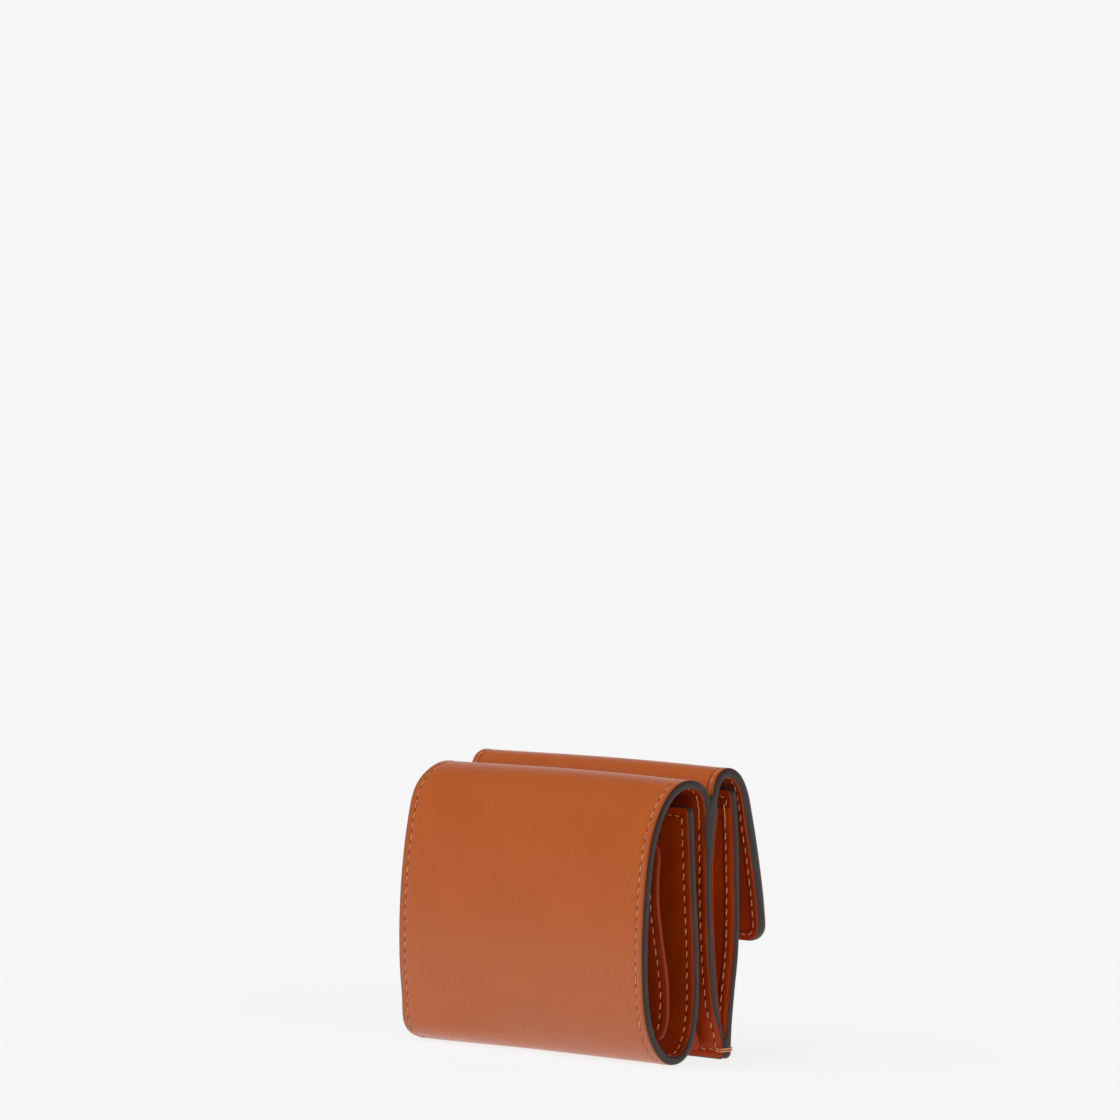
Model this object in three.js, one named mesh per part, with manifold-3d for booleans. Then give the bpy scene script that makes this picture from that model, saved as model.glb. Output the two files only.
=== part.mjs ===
// Trifold wallet, closed: one folded cover strip, a coin pocket with a flap, card slots inside.
// Millimetres, +Z up. X runs along the folds, -Y is the main panel's side, +Y the flap's side.
// Profiles are drawn in the side view, as [depth from the main panel's face, height].
import * as THREE from 'three';
import * as BufferGeometryUtils from 'three/addons/utils/BufferGeometryUtils.js';
import Module from 'manifold-3d';

const wasm = await Module();
wasm.setup();

// ---------- driving dimensions ----------
const WIDTH = 100;                // along the folds
const COVER = 2.5;                // whole thickness of the cover strip
const FRONT = 2.3;                // whole thickness of the coin pocket's front
const FLAP_END = 0.9;             // the flap strip's skived end on the centre wall
const FLAP_TAIL = 2.4;            // the flap strip where it is laid on the centre wall
const FLAP_ARCH = 2.8;            // over its arch
const FLAP_PANEL = 3.5;           // and in the hanging panel, which has a thicker board
const SKIN = 0.34;                // share of a strip's thickness that each leather layer takes
const GLUE = 0.05;                // share left as a glue line on each side of a stiffener
const THIN = 0.8;                 // card slot, slip pocket and gusset leather
const BLOCK = 1.7;                // card block with its turned edge
const CUT = 0.36;                 // clearance where a strip is divided at a fold
const GAP = 0.3;                  // clearance between neighbouring pieces
const STACK = 0.15;               // clearance between layers that lie on each other

const FLAP_CORNER = 5;            // corner radii of the free edges
const PANEL_CORNER = 3;
const BOARD_INSET = 5;            // stiffeners stop short of the stitching
const SLOT_INSET = 5;             // card slots stop short of the block's side edges
const SLOT_COUNT = 3;
const SLOT_MARGIN = 9;            // from the block's lower seam to the first card slot's mouth
const SLOT_STEP = 11;             // from one card slot's mouth to the next
const SLIP_INSET = 6.5;           // the slip pocket's side edge, in from the cover's
const SLIP_BOW = 1.5;             // how far the slip pocket bows off the centre wall
const GUSSET_DEPTH = 13;          // how far the gussets' folds reach in from the sides
const GUSSET_INSET = 0.8;         // and their side edges, in from the cover's

const CAP = { radius: 6.2, thick: 1.3 };         // press stud: outer cap on the flap
const SOCKET = { radius: 5.2, bore: 2.5, thick: 1.5 };
const STUD = { radius: 5, thick: 0.7, knob: 1.9, height: 2.2 };
const RIVET = { radius: 4.2, thick: 0.7, shank: 1.3, hole: 1.7 };
const STUD_Z = 45;                // the press stud's height on the pocket front
const SOCKET_Z = 45.5;            // and on the hanging flap
const ROUND = 28;                 // sides of a round piece

const SAMPLES = 600;              // points that a profile is measured at
const MAX_TURN = THREE.MathUtils.degToRad(9);    // facets along a profile
const MAX_STEP = 9;

// ---------- side-view profiles: the faces that the hand touches ----------
// The cover's leather face, from the inner panel's free edge round to the bottom seam.
const coverFace = trace([
  [20.5, 72.4], [21.6, 50], [22.7, 30], [22.4, 13.4], [20.3, 5.2],       // inner panel
  [17.6, 1.5], [14.3, 0], [11, 0], [7.6, 1.8],                           // U-bend
  [3.8, 6.4], [1.1, 14], [0, 30], [1.3, 51], [4.2, 65.4], [9.4, 75],     // main panel
  [14.4, 78.9], [19.7, 79.8], [24.4, 78.2], [26.8, 75],                  // arch
  [27.4, 71], [27.7, 56], [28.1, 38], [29.6, 20], [31.4, 10], [32.7, 4], [32.8, 0],
]);
// The flap strip's leather face, from its end on the centre wall to its free edge.
const flapFace = trace([
  [28.05, 56], [27.8, 68], [28.1, 76.2],                                 // tail
  [30.2, 80.9], [34.4, 82.5], [39, 80.6],                                // arch
  [42.2, 75.6], [43.9, 69.4], [46.6, 57], [48.8, 44], [49.9, 32.4],      // hanging panel
]);
// The coin pocket front's leather face, from its top edge down to the bottom seam.
const pocketFace = trace([
  [37.2, 76.6], [38.1, 69], [38.9, 46], [38.5, 30], [36.9, 18], [35.8, 8], [35.5, 0],
]);
// The card block's front, from under the arch to its seam above the U-bend.
const blockFace = trace([
  [9.9, 64], [7.7, 55], [7.2, 46], [8.6, 35], [10.4, 25], [10.7, 16], [9.8, 10.6], [8.1, 7.9],
]);

// ---------- where the strips are divided ----------
const bendCut = near(coverFace, 12.6, 0);
const mainCut = near(coverFace, 10.6, 76.3);
const wallCut = near(coverFace, 25.2, 77.6);
const flapCutA = near(flapFace, 31.6, 81.9);
const flapCutB = near(flapFace, 39.4, 80.2);
const tailBend = near(flapFace, 28.1, 76);
const hangStart = near(flapFace, 43.2, 72);

const coverThick = () => COVER;
const frontThick = () => FRONT;
/** The flap strip swells from its skived end to the arch, and again to the hanging panel. */
function flapThick(length) {
  const skived = THREE.MathUtils.smoothstep(length, 0, 7);
  const risen = THREE.MathUtils.smoothstep(length, tailBend - 4, flapCutA);
  const hung = THREE.MathUtils.smoothstep(length, flapCutB, hangStart + 6);
  return FLAP_END + (FLAP_TAIL - FLAP_END) * skived
    + (FLAP_ARCH - FLAP_TAIL) * risen + (FLAP_PANEL - FLAP_ARCH) * hung;
}

// ---------- paths ----------
/** A smooth path through the points, with arc lengths and right-hand normals, cut off at z 0. */
function trace(points) {
  const curve = new THREE.CatmullRomCurve3(
    points.map(([depth, height]) => new THREE.Vector3(0, depth, height)), false, 'centripetal');
  const spots = curve.getPoints(SAMPLES).map((p) => new THREE.Vector2(p.y, Math.max(p.z, 0)));
  const lengths = [0];
  for (let i = 1; i <= SAMPLES; i += 1) {
    lengths.push(lengths[i - 1] + spots[i].distanceTo(spots[i - 1]));
  }
  const normals = spots.map((_, i) => {
    const along = spots[Math.min(i + 1, SAMPLES)].clone().sub(spots[Math.max(i - 1, 0)]);
    return new THREE.Vector2(along.y, -along.x).normalize();
  });
  return { spots, lengths, normals, total: lengths[SAMPLES] };
}

/** Arc length at the path's point nearest to a place in the side view. */
function near(path, depth, height) {
  const place = new THREE.Vector2(depth, height);
  const gaps = path.spots.map((spot) => spot.distanceTo(place));
  return path.lengths[gaps.indexOf(Math.min(...gaps))];
}

/** The point at an arc length, moved to the right of the path by an offset, never below z 0. */
function pointAt(path, length, offset) {
  const above = path.lengths.findIndex((value) => value >= length);
  const i = Math.max(above === -1 ? SAMPLES : above, 1);
  const mix = (length - path.lengths[i - 1]) / (path.lengths[i] - path.lengths[i - 1]);
  const normal = path.normals[i - 1].clone().lerp(path.normals[i], mix).normalize();
  const spot = path.spots[i - 1].clone().lerp(path.spots[i], mix).addScaledVector(normal, offset);
  spot.y = Math.max(spot.y, 0);
  return { spot, normal };
}

/** Arc length between start and end where a face offset from the path passes a height. */
function lengthAtHeight(path, start, end, offset, height) {
  const tries = Array.from({ length: SAMPLES + 1 }, (_, i) => start + (end - start) * (i / SAMPLES));
  const gaps = tries.map((length) => Math.abs(pointAt(path, length, offset).spot.y - height));
  return tries[gaps.indexOf(Math.min(...gaps))];
}

/** Arc lengths from start to end, close together where the path bends. */
function stations(path, start, end) {
  const kept = [start];
  let heading = pointAt(path, start, 0).normal;
  for (let i = 1; i < SAMPLES; i += 1) {
    const length = path.lengths[i];
    const turned = Math.acos(Math.min(1, path.normals[i].dot(heading)));
    const due = turned > MAX_TURN || length - kept[kept.length - 1] > MAX_STEP;
    if (length > start + CUT && length < end - CUT && due) {
      kept.push(length);
      heading = path.normals[i];
    }
  }
  return [...kept, end];
}

// ---------- solids ----------
const SIDE_VIEW = new THREE.Matrix4().makeBasis(
  new THREE.Vector3(0, 1, 0), new THREE.Vector3(0, 0, 1), new THREE.Vector3(1, 0, 0));

/** Extrudes a side-view outline along X between two places. */
function extrudeAlongX(outline, low, high) {
  const options = { depth: high - low, bevelEnabled: false };
  return new THREE.ExtrudeGeometry(new THREE.Shape(outline), options)
    .applyMatrix4(SIDE_VIEW)
    .translate(low, 0, 0);
}

/** One layer of a strip, between two offset rules, from one arc length to another. */
function layer(path, start, end, outer, inner, inset = 0) {
  const marks = stations(path, start, end);
  const outside = marks.map((length) => pointAt(path, length, outer(length)).spot);
  const inside = marks.map((length) => pointAt(path, length, inner(length)).spot);
  const half = WIDTH / 2 - inset;
  return extrudeAlongX([...outside, ...inside.reverse()], -half, half);
}

const leatherLayer = (path, start, end, thick) => (
  layer(path, start, end, () => 0, (length) => thick(length) * SKIN));
const liningLayer = (path, start, end, thick) => (
  layer(path, start, end, (length) => thick(length) * (1 - SKIN), thick));
const boardLayer = (path, start, end, thick) => layer(
  path, start, end,
  (length) => thick(length) * (SKIN + GLUE),
  (length) => thick(length) * (1 - SKIN - GLUE),
  BOARD_INSET);

/** The same geometry as a manifold-3d solid. */
function toManifold(geometry) {
  const bare = geometry.clone();
  bare.deleteAttribute('normal');
  bare.deleteAttribute('uv');
  const merged = BufferGeometryUtils.mergeVertices(bare, 1e-4);
  return new wasm.Manifold(new wasm.Mesh({
    numProp: 3,
    vertProperties: new Float32Array(merged.attributes.position.array),
    triVerts: new Uint32Array(merged.index.array),
  }));
}

function toGeometry(manifold) {
  const mesh = manifold.getMesh();
  const geometry = new THREE.BufferGeometry();
  geometry.setAttribute('position', new THREE.BufferAttribute(mesh.vertProperties, 3));
  geometry.setIndex(new THREE.BufferAttribute(mesh.triVerts, 1));
  const faceted = geometry.toNonIndexed();
  faceted.computeVertexNormals();
  return faceted;
}

/** Rounds the two corners of a panel's free edge; side is 1 for an upper edge, -1 for a lower. */
function roundCorners(geometry, edge, radius, side) {
  const half = WIDTH / 2;
  const centre = edge - side * radius;
  const far = edge - side * 2 * WIDTH;
  const turn = side * (Math.PI / 2);
  const outline = new THREE.Shape();
  outline.moveTo(half, far);
  outline.lineTo(half, centre);
  outline.absarc(half - radius, centre, radius, 0, turn, side < 0);
  outline.absarc(radius - half, centre, radius, turn, 2 * turn, side < 0);
  outline.lineTo(-half, far);
  const options = { depth: 2 * WIDTH, bevelEnabled: false, curveSegments: 5 };
  const prism = new THREE.ExtrudeGeometry(outline, options)
    .rotateX(Math.PI / 2)
    .translate(0, WIDTH, 0);
  return toGeometry(toManifold(geometry).intersect(toManifold(prism)));
}

/** A round piece: profile points are [radius, distance along the outward direction]. */
function turned(profile, seat) {
  const points = profile.map(([radius, along]) => new THREE.Vector2(radius, along));
  const outward = new THREE.Vector3(0, -seat.normal.x, -seat.normal.y);
  const aim = new THREE.Quaternion().setFromUnitVectors(new THREE.Vector3(0, 1, 0), outward);
  return new THREE.LatheGeometry(points, ROUND)
    .applyQuaternion(aim)
    .translate(0, seat.spot.x, seat.spot.y);
}

/** Bores a rivet's hole through a layer. */
function bored(geometry, seat, radius) {
  const reach = 2 * FLAP_PANEL;
  const drill = turned([[0, -reach], [radius, -reach], [radius, reach], [0, reach]], seat);
  return toGeometry(toManifold(geometry).subtract(toManifold(drill)));
}

/** A V-folded gusset: one closed skin through sections at the given heights. */
function gusset(heights, wallDepth, frontDepth, side) {
  const edge = side * (WIDTH / 2 - GUSSET_INSET);
  const fold = edge - side * GUSSET_DEPTH;
  const corners = [];
  for (const z of heights) {
    const wall = wallDepth(z);
    const front = frontDepth(z);
    const middle = (wall + front) / 2;
    const thick = Math.min(THIN, (front - wall) * 0.28);
    corners.push(
      [edge, wall, z], [edge, wall + thick, z], [fold + side * 2 * thick, middle, z],
      [edge, front - thick, z], [edge, front, z], [fold, middle, z],
    );
  }
  const ring = 6;
  const faces = [];
  for (let i = 0; i + 1 < heights.length; i += 1) {
    for (let j = 0; j < ring; j += 1) {
      const a = i * ring + j;
      const b = i * ring + ((j + 1) % ring);
      faces.push([a, b, b + ring], [a, b + ring, a + ring]);
    }
  }
  const top = (heights.length - 1) * ring;
  const cap = [[0, 1, 2], [0, 2, 5], [2, 3, 4], [2, 4, 5]];
  for (const [a, b, c] of cap) {
    faces.push([a, c, b], [top + a, top + b, top + c]);
  }
  const wound = side > 0 ? faces : faces.map(([a, b, c]) => [a, c, b]);
  const geometry = new THREE.BufferGeometry();
  const flat = wound.flat().flatMap((corner) => corners[corner]);
  geometry.setAttribute('position', new THREE.Float32BufferAttribute(flat, 3));
  geometry.computeVertexNormals();
  return geometry;
}

// ---------- materials ----------
const TAN = 0xb86132;
const LINING_TAN = 0x8f3d17;
const BOARD_GREY = 0x8d8578;
const GILT = 0xc9a45c;
const finish = (color, roughness, metalness) => (
  new THREE.MeshStandardMaterial({ color, roughness, metalness }));
const smoothCalf = () => finish(TAN, 0.42, 0);
const liningCalf = () => finish(LINING_TAN, 0.55, 0);
const board = () => finish(BOARD_GREY, 0.9, 0);
const gilt = () => finish(GILT, 0.25, 1);

function named(name, geometry, material) {
  const mesh = new THREE.Mesh(geometry, material);
  mesh.name = name;
  return mesh;
}

function group(...children) {
  return new THREE.Group().add(...children);
}

// ---------- inner panel: the tucked leaf of the cover ----------
function innerPanel() {
  const end = bendCut - CUT / 2;
  const top = pointAt(coverFace, 0, 0).spot.y;
  const rounded = (geometry) => roundCorners(geometry, top, PANEL_CORNER, 1);
  const boardEnd = near(coverFace, 22.4, 14);
  return group(
    named('inner_leather', rounded(leatherLayer(coverFace, 0, end, coverThick)), smoothCalf()),
    named('inner_lining', rounded(liningLayer(coverFace, 0, end, coverThick)), liningCalf()),
    named('inner_stiffener', boardLayer(coverFace, BOARD_INSET, boardEnd, coverThick), board()),
  );
}

// ---------- main panel, with the card block on its lining ----------
function cardSlots() {
  const pitch = THIN + STACK;
  return Array.from({ length: SLOT_COUNT }, (_, i) => {
    const end = blockFace.total - SLOT_MARGIN - i * SLOT_STEP;
    const outer = () => -(i + 1) * pitch;
    const inner = () => -i * pitch - STACK;
    const strip = layer(blockFace, 1, end, outer, inner, SLOT_INSET);
    return named(`card_slot_${i + 1}`, strip, liningCalf());
  });
}

function mainPanel() {
  const start = bendCut + CUT / 2;
  const end = mainCut - CUT / 2;
  const boardStart = near(coverFace, 0.8, 16);
  const boardEnd = near(coverFace, 4.2, 65.4);
  const block = layer(blockFace, 0, blockFace.total, () => 0, () => BLOCK);
  return group(
    named('main_leather', leatherLayer(coverFace, start, end, coverThick), smoothCalf()),
    named('main_lining', liningLayer(coverFace, start, end, coverThick), liningCalf()),
    named('main_stiffener', boardLayer(coverFace, boardStart, boardEnd, coverThick), board()),
    named('card_block', block, liningCalf()),
    ...cardSlots(),
  );
}

// ---------- top spine: the arch between main panel and centre wall ----------
function topSpine() {
  const start = mainCut + CUT / 2;
  const end = wallCut - CUT / 2;
  return group(
    named('spine_leather', leatherLayer(coverFace, start, end, coverThick), smoothCalf()),
    named('spine_lining', liningLayer(coverFace, start, end, coverThick), liningCalf()),
  );
}

// ---------- coin body: centre wall, the flap's tail, slip pocket and gussets ----------
function slipPocket() {
  const start = near(coverFace, 27.7, 58);
  const end = near(coverFace, 32.7, 2.5);
  const bow = (length) => SLIP_BOW * Math.sin(Math.PI * ((length - start) / (end - start)) ** 2);
  const outer = (length) => COVER + GAP + bow(length);
  return layer(coverFace, start, end, outer, (length) => outer(length) + THIN, SLIP_INSET);
}

function gussetPair() {
  const tailEnd = pointAt(flapFace, 0, 0).spot.y;
  const heights = [15, 24, 36, tailEnd - 6, tailEnd - 0.6, tailEnd + 8, 70];
  const wallDepth = (z) => {
    if (z > tailEnd - 1) {
      const length = lengthAtHeight(flapFace, 0, tailBend, FLAP_TAIL, Math.max(z, tailEnd + 7));
      return pointAt(flapFace, length, FLAP_TAIL).spot.x + GAP;
    }
    const length = lengthAtHeight(coverFace, wallCut, coverFace.total, 0, z);
    return pointAt(coverFace, length, 0).spot.x + GAP;
  };
  const frontDepth = (z) => {
    const length = lengthAtHeight(pocketFace, 0, pocketFace.total, FRONT, z);
    return pointAt(pocketFace, length, FRONT).spot.x - GAP;
  };
  return [
    named('gusset_right', gusset(heights, wallDepth, frontDepth, 1), liningCalf()),
    named('gusset_left', gusset(heights, wallDepth, frontDepth, -1), liningCalf()),
  ];
}

function coinBody() {
  const start = wallCut + CUT / 2;
  const end = coverFace.total;
  const tailEnd = flapCutA - CUT / 2;
  const boardStart = near(coverFace, 27.4, 70);
  const boardEnd = near(coverFace, 31.4, 10);
  return group(
    named('wall_leather', leatherLayer(coverFace, start, end, coverThick), smoothCalf()),
    named('wall_lining', liningLayer(coverFace, start, end, coverThick), liningCalf()),
    named('wall_stiffener', boardLayer(coverFace, boardStart, boardEnd, coverThick), board()),
    named('flap_tail_leather', leatherLayer(flapFace, 0, tailEnd, flapThick), smoothCalf()),
    named('flap_tail_lining', liningLayer(flapFace, 0, tailEnd, flapThick), liningCalf()),
    named('slip_pocket', slipPocket(), liningCalf()),
    ...gussetPair(),
  );
}

// ---------- flap: its arch, then the hanging panel with half of the press stud ----------
function flapSpine() {
  const start = flapCutA + CUT / 2;
  const end = flapCutB - CUT / 2;
  return group(
    named('flap_spine_leather', leatherLayer(flapFace, start, end, flapThick), smoothCalf()),
    named('flap_spine_lining', liningLayer(flapFace, start, end, flapThick), liningCalf()),
  );
}

function flapPanel() {
  const start = flapCutB + CUT / 2;
  const end = flapFace.total;
  const edge = pointAt(flapFace, end, FLAP_PANEL).spot.y;
  const socketAt = lengthAtHeight(flapFace, start, end, FLAP_PANEL, SOCKET_Z);
  const seat = pointAt(flapFace, socketAt, 0);
  const drilled = (geometry) => bored(geometry, seat, RIVET.hole);
  const rounded = (geometry) => roundCorners(geometry, edge, FLAP_CORNER, -1);
  const leather = leatherLayer(flapFace, start, end, flapThick);
  const lining = liningLayer(flapFace, start, end, flapThick);
  const stiffener = boardLayer(flapFace, hangStart + 2, end - BOARD_INSET, flapThick);
  const { radius, thick } = CAP;
  const back = -FLAP_PANEL - GAP;
  const cap = turned([
    [0, GAP - FLAP_PANEL], [RIVET.shank, GAP - FLAP_PANEL], [RIVET.shank, GAP], [radius, GAP],
    [radius, 0.45 * thick], [0.8 * radius, 0.7 * thick], [0.45 * radius, 0.95 * thick], [0, thick],
  ], seat);
  const socket = turned([
    [SOCKET.bore, back], [SOCKET.bore, back - SOCKET.thick], [SOCKET.bore + 0.8, back - SOCKET.thick],
    [SOCKET.radius, back - 0.5 * SOCKET.thick], [SOCKET.radius, back], [SOCKET.bore, back],
  ], seat);
  return group(
    named('flap_leather', drilled(rounded(leather)), smoothCalf()),
    named('flap_lining', drilled(rounded(lining)), liningCalf()),
    named('flap_stiffener', drilled(stiffener), board()),
    named('snap_cap', cap, gilt()),
    named('snap_socket', socket, gilt()),
  );
}

// ---------- coin pocket front, with the other half of the press stud ----------
function pocketFront() {
  const end = pocketFace.total;
  const top = pointAt(pocketFace, 0, FRONT).spot.y;
  const studAt = lengthAtHeight(pocketFace, 0, end, 0, STUD_Z);
  const seat = pointAt(pocketFace, studAt, 0);
  const drilled = (geometry) => bored(geometry, seat, RIVET.hole);
  const rounded = (geometry) => roundCorners(geometry, top, PANEL_CORNER, 1);
  const { radius, thick, knob, height } = STUD;
  const neck = 0.75 * knob;
  const stud = turned([
    [0, GAP], [radius, GAP], [radius, 0.8 * thick], [knob + 0.6, thick + GAP], [neck, thick + GAP],
    [neck, 0.7 * height], [knob, 0.85 * height], [0.7 * knob, height], [0, height],
  ], seat);
  const back = -FRONT - GAP;
  const rivet = turned([
    [0, back - RIVET.thick], [RIVET.radius, back - RIVET.thick], [RIVET.radius, back],
    [RIVET.shank, back], [RIVET.shank, -STACK], [0, -STACK],
  ], seat);
  return group(
    named('pocket_leather', drilled(rounded(leatherLayer(pocketFace, 0, end, frontThick))), smoothCalf()),
    named('pocket_lining', drilled(rounded(liningLayer(pocketFace, 0, end, frontThick))), liningCalf()),
    named('snap_stud', stud, gilt()),
    named('snap_rivet', rivet, gilt()),
  );
}

// ---------- the wallet, with the origin under the middle of its box ----------
const wallet = group(
  coinBody(), group(topSpine(), group(mainPanel(), innerPanel())), group(flapSpine(), flapPanel()),
  pocketFront(),
);
const box = new THREE.Box3().setFromObject(wallet);
const middle = (box.min.y + box.max.y) / 2;
wallet.position.set(0, -middle, 0);

// Hinge lines run along X; each is at a fold's outer face, where unfolding opens the joint.
const hinge = (path, length) => {
  const { spot } = pointAt(path, length, 0);
  return [0, spot.x - middle, spot.y];
};
wallet.userData.hinges = {
  top_fold: hinge(coverFace, wallCut),
  main_fold: hinge(coverFace, mainCut),
  inner_fold: hinge(coverFace, bendCut),
  flap_fold: hinge(flapFace, flapCutA),
  flap_swing: hinge(flapFace, flapCutB),
  pocket_gape: hinge(pocketFace, pocketFace.total),
};

export default wallet;
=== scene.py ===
"""Trifold wallet: its finished look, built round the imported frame. +Z up, metres in the scene.
Profiles are in millimetres, as (depth from the main panel's face, height from the table)."""
import math

import bmesh
import bpy
import numpy as np
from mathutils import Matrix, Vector


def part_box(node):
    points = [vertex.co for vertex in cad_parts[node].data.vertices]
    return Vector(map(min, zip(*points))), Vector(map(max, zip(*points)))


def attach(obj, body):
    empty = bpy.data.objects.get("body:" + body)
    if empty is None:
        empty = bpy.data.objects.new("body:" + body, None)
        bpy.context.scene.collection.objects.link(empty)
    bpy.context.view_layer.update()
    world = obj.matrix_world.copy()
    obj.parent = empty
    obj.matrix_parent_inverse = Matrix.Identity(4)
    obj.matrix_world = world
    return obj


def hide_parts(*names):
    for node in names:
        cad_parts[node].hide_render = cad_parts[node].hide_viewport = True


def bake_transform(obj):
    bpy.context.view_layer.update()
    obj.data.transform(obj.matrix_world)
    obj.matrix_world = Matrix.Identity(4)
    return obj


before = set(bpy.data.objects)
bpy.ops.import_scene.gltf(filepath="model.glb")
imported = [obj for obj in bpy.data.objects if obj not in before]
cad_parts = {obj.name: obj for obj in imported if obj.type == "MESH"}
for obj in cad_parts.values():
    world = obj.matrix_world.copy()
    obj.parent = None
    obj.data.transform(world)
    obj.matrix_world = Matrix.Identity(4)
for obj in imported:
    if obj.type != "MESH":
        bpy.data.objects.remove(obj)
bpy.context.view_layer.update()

# ---------- sizes, in millimetres ----------
MM = 0.001
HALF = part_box("main_leather")[1].x / MM              # half the wallet's width
FACE_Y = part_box("main_leather")[0].y / MM            # the main panel's face, in the frame

COVER = 2.5                    # whole thickness of each strip
FRONT = 2.3
FLAP_END, FLAP_TAIL, FLAP_ARCH, FLAP_PANEL = 0.15, 2.4, 2.8, 3.5
SKIVED = 1.5                   # taken off the cover's thickness at its sewn foot
BLOCK = 1.0                    # card block with its turned edge
THIN = 0.8                     # slot, slip pocket and gusset leather
STACK = 0.15                   # room between the card slots
SLOT_MARGIN, SLOT_STEP = 9, 11           # from the block's lower edge to the first slot, and on to the next
SLIP_GAP, SLIP_BOW = 0.3, 1.5            # the slip pocket's room off the wall, and how far it bows
SKIN = 0.36                    # share of a strip's thickness that each leather layer takes

PANEL_CORNER = 1.8             # plan corners of the free edges
FLAP_CORNER = 5.0
SEAM_CORNER = 1.6
BLOCK_CORNERS = 7, 2             # at the card block's top and foot
SLOT_CORNER, SLIP_CORNER, TAIL_CORNER = 1.5, 2.5, 0.8
PAINT = 0.3                    # edge paint that shows outside the leather's face
PAINT_REACH = 1.1              # how far the paint's hidden part reaches in
LIP = 0.28                     # rounding of the leather's face where it meets the paint

COVER_SEAM = 2.8               # stitch rows, in from the edge
FRONT_SEAM = 2.4
FLAP_SEAM = 2.0
BLOCK_SEAM = 2.9
BOTTOM_SEAM = 2.7
LEAF_SEAM = 1.6                # creased line along the slots and the slip pocket
END_RUN, FLAP_RUN = 12, 16     # how much of a seam is laid out together with an end's corners
PITCH = 3.1                    # from one stitch to the next
STITCH = 2.45                  # a stitch's visible length
THREAD = 0.21                  # thread radius
FACE_HOLE, LINING_HOLE = 0.56, 0.4     # radii of the needle holes, wider where the needle went in

rng = np.random.default_rng(11)

# ---------- side-view profiles ----------
# The strips follow the frame's solids. The card block hangs a little nearer the main panel.
COVER_POINTS = [
    (20.5, 72.4), (21.6, 50), (22.7, 30), (22.4, 13.4), (20.3, 5.2),       # inner panel
    (17.6, 1.5), (14.3, 0), (11, 0), (7.6, 1.8),                           # U-bend
    (3.8, 6.4), (1.1, 14), (0, 30), (1.3, 51), (4.2, 65.4), (9.4, 75),     # main panel
    (14.4, 78.9), (19.7, 79.8), (24.4, 78.2), (26.8, 75),                  # arch
    (27.4, 71), (27.7, 56), (28.1, 38), (29.6, 20), (31.4, 10), (32.7, 4), (32.8, 0),
]
FLAP_POINTS = [
    (28.05, 56), (27.8, 68), (28.1, 76.2),                                 # tail
    (30.2, 80.9), (34.4, 82.5), (39, 80.6),                                # arch
    (42.2, 75.6), (43.9, 69.4), (46.6, 57), (48.8, 44), (49.9, 32.4),      # hanging panel
]
POCKET_POINTS = [(37.2, 76.6), (38.1, 69), (38.9, 46), (38.5, 30), (36.9, 18), (35.8, 8), (35.5, 0)]
BLOCK_POINTS = [
    (8.7, 64), (7, 55), (6.9, 46),                                         # close to the main panel
    (8.5, 35), (10.4, 25), (10.9, 17), (10.4, 11.6),                       # bowed off it
    (8.9, 8.4), (7.6, 7),                                                  # sewn foot
]


def smoothstep(value, low, high):
    t = np.clip((np.asarray(value, float) - low) / (high - low), 0, 1)
    return t * t * (3 - 2 * t)


def bump(value, centre, width):
    """A smooth hump of height 1."""
    return np.exp(-(((np.asarray(value, float) - centre) / width) ** 2))


# ---------- paths ----------
def catmull(points, per_span=40):
    """A centripetal Catmull-Rom curve through the points."""
    p = np.array(points, float)
    p = np.vstack([2 * p[0] - p[1], p, 2 * p[-1] - p[-2]])
    spots = []
    for a, b, c, d in zip(p, p[1:], p[2:], p[3:]):
        before, span, after = (math.sqrt(np.linalg.norm(v)) for v in (b - a, c - b, d - c))
        leave = ((b - a) / before - (c - a) / (before + span) + (c - b) / span) * span
        arrive = ((c - b) / span - (d - b) / (span + after) + (d - c) / after) * span
        for t in np.arange(per_span) / per_span:
            hermite = (2 * t**3 - 3 * t**2 + 1, t**3 - 2 * t**2 + t, 3 * t**2 - 2 * t**3, t**3 - t**2)
            spots.append(hermite[0] * b + hermite[1] * leave + hermite[2] * c + hermite[3] * arrive)
    return np.array(spots + [p[-2]])


def profile(points, spacing=0.1, soften=1.3):
    """The path of a side-view profile: evenly spaced spots, with its bends evened out."""
    raw = catmull(points)
    raw[:, 1] = np.maximum(raw[:, 1], 0)
    run = np.concatenate([[0], np.cumsum(np.linalg.norm(np.diff(raw, axis=0), axis=1))])
    even = np.linspace(0, run[-1], int(run[-1] / spacing))
    spots = np.stack([np.interp(even, run, raw[:, i]) for i in (0, 1)], 1)
    reach = int(3 * soften / spacing)
    kernel = np.exp(-0.5 * (np.arange(-reach, reach + 1) * spacing / soften) ** 2)
    kernel /= kernel.sum()
    head = 2 * spots[0] - spots[reach:0:-1]
    tail = 2 * spots[-1] - spots[-2:-reach - 2:-1]
    padded = np.vstack([head, spots, tail])
    return Path(np.stack([np.convolve(padded[:, i], kernel, "valid") for i in (0, 1)], 1))


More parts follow.
